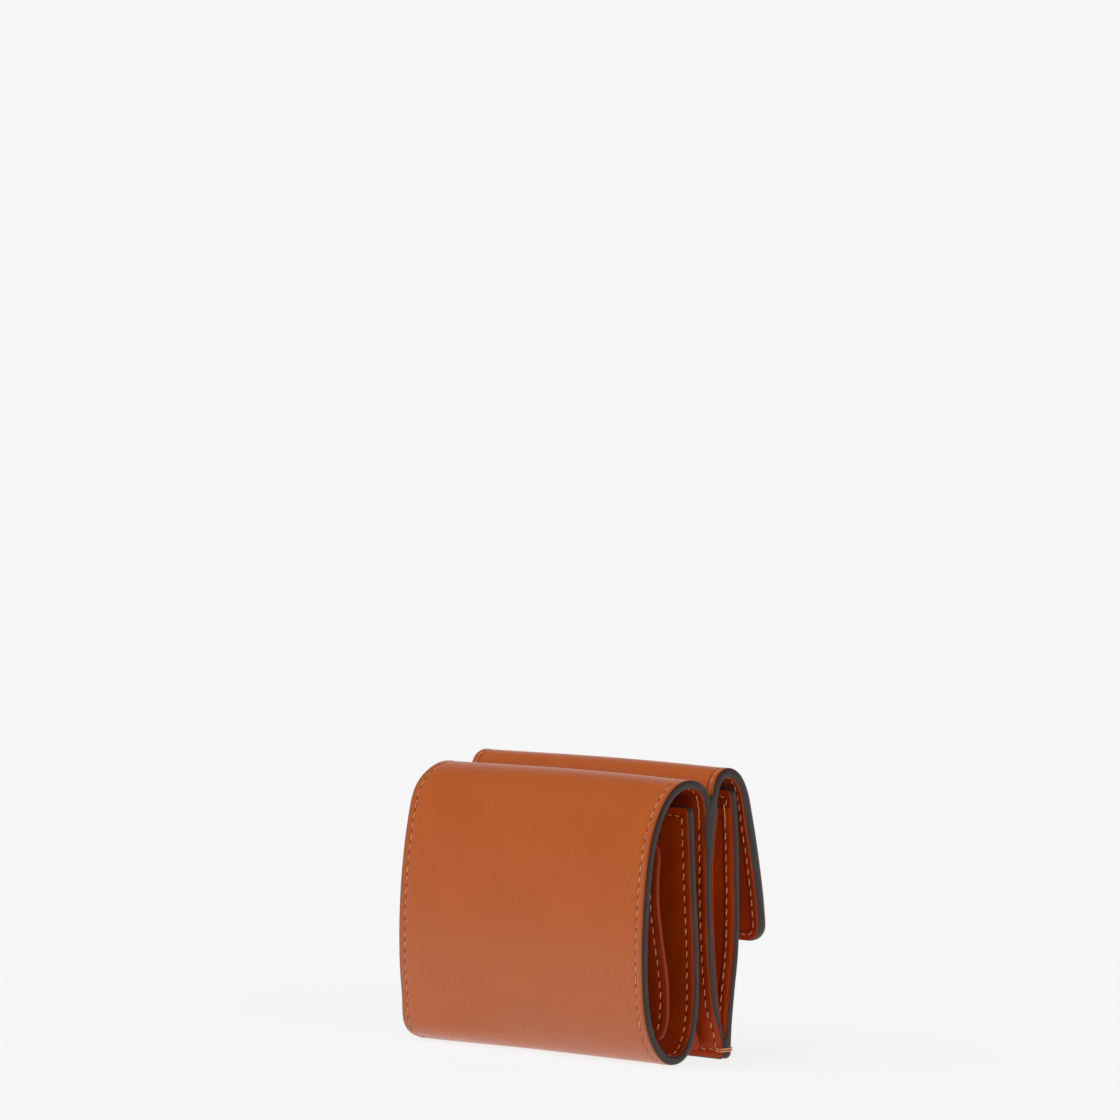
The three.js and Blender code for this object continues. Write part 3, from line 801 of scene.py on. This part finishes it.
def flap_thick(s):
    """The flap's thickness: tapered to nothing at the tail, thickest in the boarded panel."""
    return (FLAP_END + (FLAP_TAIL - FLAP_END) * smoothstep(s, 0, 19)
            + (FLAP_ARCH - FLAP_TAIL) * smoothstep(s, tail_bend - 4, flap_split)
            + (FLAP_PANEL - FLAP_ARCH) * smoothstep(s, flap_turn, hang_start + 6))


flap_top = flap_path.near(34.4, 82.5)
flap = Strip(flap_path, flap_thick, TAIL_CORNER, FLAP_CORNER, crowns=[(flap_top, 8, 0.35)])
flap_cut = flap.cut(35.3, 82.4)
notch_low, notch_high = flap_path.near(27.9, 72), flap_path.near(28, 75.6)


def glued_tail(s):
    """The tail is glued to the wall, and one coat of paint covers both edges up to the notch."""
    return (COVER + 0.35) * (1 - smoothstep(s, notch_low, notch_high)), 0


segment("flap_root", flap, 0, flap_cut, FLAP_SEAM, FLAP_FRONT,
        (("flap_tail_leather", "flap_spine_leather"), ("flap_tail_lining", "flap_spine_lining")),
        spread=glued_tail)
segment("flap_panel", flap, flap_cut, flap_path.total, FLAP_SEAM, FLAP_BACK,
        (("flap_leather",), ("flap_lining",)))

# The coin pocket's front.
pocket = Strip(profile(POCKET_POINTS), steady(FRONT), PANEL_CORNER, SEAM_CORNER)
pocket_end = pocket.path.total


def sewn_foot(s):
    """At the foot the front is sewn to the wall, and its paint runs over onto the wall's edge."""
    return 0, 1.0 * smoothstep(s, pocket_end - 7, pocket_end - 4.5)


segment("pocket_front", pocket, 0, pocket_end, FRONT_SEAM, "pocket_front",
        (("pocket_leather",), ("pocket_lining",)), spread=sewn_foot)

# Loose leaves inside: the card block, its slots, and the slip pocket.
block_path = profile(BLOCK_POINTS)
block = Strip(block_path, steady(BLOCK), *BLOCK_CORNERS, half=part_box("card_block")[1].x / MM, rim=0)
bind([thin_sheet("card_block_leaf", block, BLOCK_CALF, BLOCK_SEAM)],
     "main_panel", ("card_block",))
for number in (1, 2, 3):
    node = f"card_slot_{number}"
    reach = block_path.total - SLOT_MARGIN - (number - 1) * SLOT_STEP
    step = -number * (THIN + STACK)
    leaf = Strip(block_path.part(1, reach), steady(THIN), SLOT_CORNER, SLOT_CORNER,
                 half=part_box(node)[1].x / MM, rim=0, lift=lambda s, step=step: step)
    bind([thin_sheet(node + "_leaf", leaf, LINING, LEAF_SEAM)], "main_panel", (node,))

slip_path = cover_path.part(cover_path.near(27.7, 58), cover_path.near(32.7, 2.5))


def slip_lift(s):
    """How far the slip pocket stands off the wall: bowed most towards its foot."""
    return COVER + SLIP_GAP + SLIP_BOW * np.sin(math.pi * np.clip(s / slip_path.total, 0, 1) ** 2)


slip = Strip(slip_path, steady(THIN), SLIP_CORNER, SLIP_CORNER,
             half=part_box("slip_pocket")[1].x / MM, rim=0, lift=slip_lift)
bind([thin_sheet("slip_pocket_leaf", slip, LINING, LEAF_SEAM)], "coin_body", ("slip_pocket",))


# ---------- gussets: each is one leaf, folded inwards between the wall and the pocket front ----------
GUSSET_FOOT, GUSSET_TOP = 4.5, 71
GUSSET_REACH = 13                # how far in from the side the fold lies
GUSSET_INSET = 0.55              # and the leaf's own edges
TAIL_FOOT = FLAP_POINTS[0][1]


def height_crossing(path, offset, z, start, end):
    """Depth where a path's offset line passes a height, between two lengths."""
    line = path.at(np.linspace(start, end, 400), offset)
    upward = line[np.argsort(line[:, 1])]
    return float(np.interp(z, upward[:, 1], upward[:, 0]))


def gusset(name, side):
    """One gusset: a U in plan at every height, from the wall's edge in to its fold and back out."""
    rows, uv, edge, thin = [], [], [], []
    for z in np.linspace(GUSSET_FOOT, GUSSET_TOP, 56):
        wall = height_crossing(cover_path, 0, z, arch_top, wall_foot)
        tail = height_crossing(flap_path, 0, z, 0, tail_bend) + float(flap_thick(z - TAIL_FOOT))
        wall += max(tail - wall, 0) * float(smoothstep(z, 55, 59))
        front = height_crossing(pocket.path, FRONT, z, 0, pocket_end)
        half_thick = min(THIN / 2, (front - wall) / 7)
        wall, front = wall + 0.1 + half_thick, front - 0.1 - half_thick
        room = max(front - wall, 0.1)
        fold = GUSSET_REACH * (0.4 + 0.6 * float(smoothstep(z, GUSSET_FOOT, 22)))
        leaf = [(GUSSET_INSET, 0), (0.35 * fold, 0.01), (0.68 * fold, 0.12), (0.93 * fold, 0.3)]
        bend = leaf + [(fold, 0.5)] + [(inset, 1 - share) for inset, share in reversed(leaf)]
        line = catmull([(inset, wall + share * room) for inset, share in bend], 6)
        rows.append([(side * (HALF - inset), v + FACE_Y, z) for inset, v in line])
        uv.append([(j * 0.7 / 100, z / 100) for j in range(len(line))])
        edge.append([min(inset - GUSSET_INSET, GUSSET_TOP - z) for inset, v in line])
        thin.append([half_thick - 0.03] * len(line))
    middle, edge = np.array(rows), np.array(edge)
    across = np.gradient(middle, axis=1)
    normal = np.stack([across[..., 1], -across[..., 0], np.zeros(edge.shape)], -1)
    normal /= np.linalg.norm(normal, axis=-1)[..., None]
    rounding = np.sqrt(np.clip((edge + 0.06) / 0.4, 0.02, 1))
    offset = normal * (np.array(thin) * rounding)[..., None]
    return slab(name, (middle + offset) * MM, (middle - offset) * MM, LINING, np.array(uv), edge)


for label, side in (("right", 1), ("left", -1)):
    bind([gusset(f"gusset_{label}_leaf", side)], GUSSET, (f"gusset_{label}",))


# ---------- stitching on every sewn face ----------
def sew(name, strip, places, low, high, where, faces):
    """Stitches between two lengths, on the outer face, the lining face, or both."""
    for label, lining in faces:
        sewn = stitches(f"{name}_{label}_stitches", strip, places, lining, low=low, high=high)
        bind(sewn, where)


def all_round(strip, seam, end_seam, end_run=END_RUN):
    """Stitch places round a strip's whole outline; the row along its far end has its own distance in."""
    end = strip.path.total
    return (corner_places(strip, seam, 0.0, END_RUN) + seam_places(strip, seam, END_RUN, end - end_run)
            + corner_places(strip, end_seam, end, end - end_run))


BOTH = (("outer", False), ("inner", True))
OUTER, INNER = BOTH[:1], BOTH[1:]
cover_places = all_round(cover, COVER_SEAM, BOTTOM_SEAM)
wall_seam = cover_path.near(27.2, 73)
cover_places += backstitch(cover_places, cover_path.near(25.5, 77.5), cover_path.near(27.4, 68))
sew("lower_cover", cover, cover_places, 0, low_cut, U_FOLD, BOTH)
sew("upper_cover", cover, cover_places, low_cut, arch_cut, TOP_FRONT, BOTH)
sew("wall", cover, cover_places, arch_cut, wall_seam, TOP_BACK, OUTER)
sew("wall", cover, cover_places, arch_cut, wall_foot, TOP_BACK, INNER)

flap_end = flap_path.total
flap_places = all_round(flap, FLAP_SEAM, FLAP_SEAM, FLAP_RUN)
sew("flap_root", flap, flap_places, tail_bend, flap_cut, FLAP_FRONT, OUTER)
sew("flap_root", flap, flap_places, 0, flap_cut, FLAP_FRONT, INNER)
sew("flap_panel", flap, flap_places, flap_cut, flap_end, FLAP_BACK, BOTH)

pocket_places = all_round(pocket, FRONT_SEAM, BOTTOM_SEAM)
sew("pocket", pocket, pocket_places, 0, pocket_end, "pocket_front", OUTER)
pocket_inner_places = pocket_places + backstitch(pocket_places, 2.6, 10)
gusset_level = pocket.path.near(37.8, GUSSET_TOP)
on_lining = stitches("pocket_top_stitches", pocket, pocket_inner_places, lining=True, high=gusset_level)
on_gusset = stitches("pocket_gusset_stitches", pocket, pocket_inner_places, lining=True, over=THIN + 0.16,
                     low=gusset_level, high=pocket_end - 10)
bind(on_lining, "pocket_front")
bind(on_gusset, "pocket_front")

# Two threads wrap each side edge where the bottom seam ends.
wall_row, front_row = wall_foot - BOTTOM_SEAM, pocket_end - BOTTOM_SEAM
wall_depth = cover_thick(wall_row)
for label, side in (("right", 1), ("left", -1)):
    bars = []
    seam_x, rim_x = side * (HALF - COVER_SEAM), side * (HALF - 0.2)
    for level in (-0.32, 0.34):
        inner = cover.place(wall_row - level, seam_x, wall_depth - 0.1)
        inner_rim = cover.place(wall_row - level, rim_x, wall_depth + 0.2)
        outer_rim = pocket.place(front_row - level, rim_x, -0.2)
        outer = pocket.place(front_row - level, seam_x, 0.1)
        round_edge = (inner_rim + outer_rim) / 2 + (side * 0.32 * MM, 0, 0)
        line = [inner, (inner + inner_rim) / 2 - (0, 0.12 * MM, 0), inner_rim, round_edge, outer_rim,
                (outer + outer_rim) / 2 + (0, 0.12 * MM, 0), outer]
        bars.append(tube(np.array(line) / MM, THREAD))
    bind([make(f"foot_bar_{label}", *gather(bars), THREAD_LOOK, sharp=80)], FOOT)

sew("block", block, all_round(block, BLOCK_SEAM, BLOCK_SEAM), 0, block_path.total, "main_panel", BOTH)


# ---------- press stud ----------
def turned(name, outline_points, seat, material):
    """A lathe piece: outline points are (radius, distance out from the strip's outer face)."""
    spot, normal = seat
    outward = Vector((0, -normal[0], -normal[1]))
    origin = Vector((0, spot[0] + FACE_Y, spot[1]))
    side = Vector((1, 0, 0))
    up = outward.cross(side)
    count, points = 72, []
    for radius, along in outline_points:
        for i in range(count):
            turn = 2 * math.pi * i / count
            points.append((origin + outward * along
                           + (side * math.cos(turn) + up * math.sin(turn)) * radius) * MM)
    rows = len(outline_points)
    faces = grid_faces(rows, count, rings=True)
    faces += [tuple(range(count)), tuple((rows - 1) * count + j for j in range(count))]
    return make(name, points, faces, material, sharp=28)


def seat_at(path, offset, z, start):
    """The place and inward normal on a path whose offset line passes a height."""
    lengths = np.linspace(start, path.total, 600)
    length = lengths[np.argmin(np.abs(path.at(lengths, offset)[:, 1] - z))]
    spot = path.at(length, 0)
    normal = path.at(length, 1) - spot
    return spot, normal


def rounded(points, radius=0.18):
    """An outline with its inner corners eased."""
    eased = [points[0]]
    for before, corner, after in zip(points, points[1:], points[2:]):
        for other in (before, after):
            way = Vector(other) - Vector(corner)
            eased.append(tuple(Vector(corner) + way.normalized() * min(radius, way.length / 2.5)))
    return eased + [points[-1]]


AXIS = 0.05                      # a lathe piece's middle is closed by a cap this small
SOCKET_Z, STUD_Z = 45.5, 45      # the press stud's height on the flap and on the pocket front
flap_seat = seat_at(flap_path, FLAP_PANEL, SOCKET_Z, flap_turn)
front_seat = seat_at(pocket.path, 0, STUD_Z, 0)
cap = [(1.3, 0.3 - FLAP_PANEL), (1.3, 0.1),                          # shank through the flap
       (6.1, 0.1), (6.2, 0.45), (5.9, 0.68), (5, 0.92), (3.6, 1.13), (2, 1.26), (AXIS, 1.3)]
back = -FLAP_PANEL - 0.3
socket = [(2.5, back + 0.25), (2.5, back - 1.5), (3.3, back - 1.5),  # bore and mouth
          (5.2, back - 0.75), (5.2, back + 0.2), (2.6, back + 0.25)]
stud = [(AXIS, 0.1), (5, 0.1), (5, 0.56), (2.5, 1),                  # base
        (1.43, 1), (1.43, 1.54), (1.9, 1.87), (1.33, 2.2), (AXIS, 2.2)]
head = -FRONT - 0.3
rivet = [(AXIS, head - 0.7), (4.2, head - 0.7), (4.2, head),         # head
         (1.3, head), (1.3, -0.15), (AXIS, -0.15)]
for name, outline_points, seat, body in (
        ("cap", cap, flap_seat, "flap"), ("socket", socket, flap_seat, "flap"),
        ("stud", stud, front_seat, "pocket_front"), ("rivet", rivet, front_seat, "pocket_front")):
    piece = turned(f"press_stud_{name}", rounded(outline_points), seat, GILT_LOOK)
    bind([piece], body, (f"snap_{name}",))

for node in ("wall_stiffener", "main_stiffener", "inner_stiffener", "flap_stiffener"):
    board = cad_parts[node]
    board.data.materials.clear()
    board.data.materials.append(BOARD_LOOK)


# ---------- floor, light and camera ----------
PAPER = 0.922                    # the background's brightness
FLOOR_PALE = 0.12                # the floor's own colour, and the glow that brings it up to the paper
FLOOR_GLOW = 0.825
HORIZON, OVERHEAD = 0.95, 0.1     # the surroundings' brightness, low down and straight up
FRONT_DIM = 0.22                 # how much of it is left in front of the wallet


def floor():
    """A pale plain disc that glows a little, so that only a faint shadow shows under the wallet."""
    solid = bmesh.new()
    bmesh.ops.create_circle(solid, cap_ends=True, segments=96, radius=0.6)
    mesh = bpy.data.meshes.new("floor")
    solid.to_mesh(mesh)
    solid.free()
    look = Look("Pale floor")
    grain = look.noise(own_chart(look), 60, 3, 0.5)
    pale = look.mix(grain, (FLOOR_PALE - 0.004,) * 3 + (1,), (FLOOR_PALE + 0.004,) * 3 + (1,))
    mesh.materials.append(look.finish(Base_Color=pale, Roughness=0.9, Specular_IOR_Level=0.0,
                                      Emission_Color=(1, 1, 1, 1), Emission_Strength=FLOOR_GLOW))
    thing = bpy.data.objects.new("floor", mesh)
    thing.location.z = -0.0002
    bpy.context.scene.collection.objects.link(thing)


def sky():
    """Plain paper behind, and surroundings that light the wallet most from low down and behind."""
    world = bpy.data.worlds.new("Studio")
    bpy.context.scene.world = world
    world.use_nodes = True
    nodes, links = world.node_tree.nodes, world.node_tree.links
    light = nodes["Background"]
    where, split, ramp, paper, rays, pick, back, dim = (nodes.new("ShaderNode" + kind) for kind in (
        "TexCoord", "SeparateXYZ", "ValToRGB", "Background", "LightPath",
        "MixShader", "VectorMath", "MapRange"))
    back.operation = "DOT_PRODUCT"
    back.inputs[1].default_value = (-0.6, 0.8, 0)
    dim.inputs["From Min"].default_value = -0.6
    dim.inputs["From Max"].default_value = 0.6
    dim.inputs["To Min"].default_value = FRONT_DIM
    paper.inputs["Color"].default_value = (PAPER, PAPER, PAPER, 1)
    for stop, place, level in zip(ramp.color_ramp.elements, (0.0, 0.75), (HORIZON, OVERHEAD)):
        stop.position, stop.color = place, (level, level, level, 1)
    for source, sink in (
            (where.outputs["Generated"], split.inputs[0]), (split.outputs["Z"], ramp.inputs["Fac"]),
            (where.outputs["Generated"], back.inputs[0]), (back.outputs["Value"], dim.inputs["Value"]),
            (dim.outputs["Result"], light.inputs["Strength"]), (ramp.outputs["Color"], light.inputs["Color"]),
            (rays.outputs["Is Camera Ray"], pick.inputs[0]), (light.outputs[0], pick.inputs[1]),
            (paper.outputs[0], pick.inputs[2]), (pick.outputs[0], nodes["World Output"].inputs["Surface"])):
        links.new(source, sink)


def sun(name, direction, strength, angle):
    """A broad soft light shining along a direction, left out of reflections."""
    lamp = bpy.data.lights.new(name, "SUN")
    lamp.energy, lamp.angle = strength, math.radians(angle)
    thing = bpy.data.objects.new(name, lamp)
    thing.rotation_euler = Vector(direction).to_track_quat("-Z", "Y").to_euler()
    thing.visible_glossy = False
    bpy.context.scene.collection.objects.link(thing)


def camera():
    lens = bpy.data.cameras.new("camera")
    lens.lens, lens.sensor_width = 257.1, 36
    lens.clip_start, lens.clip_end = 0.05, 60
    thing = bpy.data.objects.new("camera", lens)
    turn, pitch = math.radians(45.9), math.radians(3.04)
    level = math.cos(pitch)
    aim = Vector((-math.sin(turn) * level, math.cos(turn) * level, -math.sin(pitch)))
    thing.location = (1.6297, -1.5879, 0.2603)
    thing.rotation_euler = aim.to_track_quat("-Z", "Y").to_euler()
    bpy.context.scene.collection.objects.link(thing)
    bpy.context.scene.camera = thing


floor()
sky()
sun("key", (0.28, 0.45, -0.85), 1.8, 50)
sun("side", (-0.87, 0.33, -0.46), 1.3, 40)
camera()
bpy.context.scene.view_settings.view_transform = "Standard"
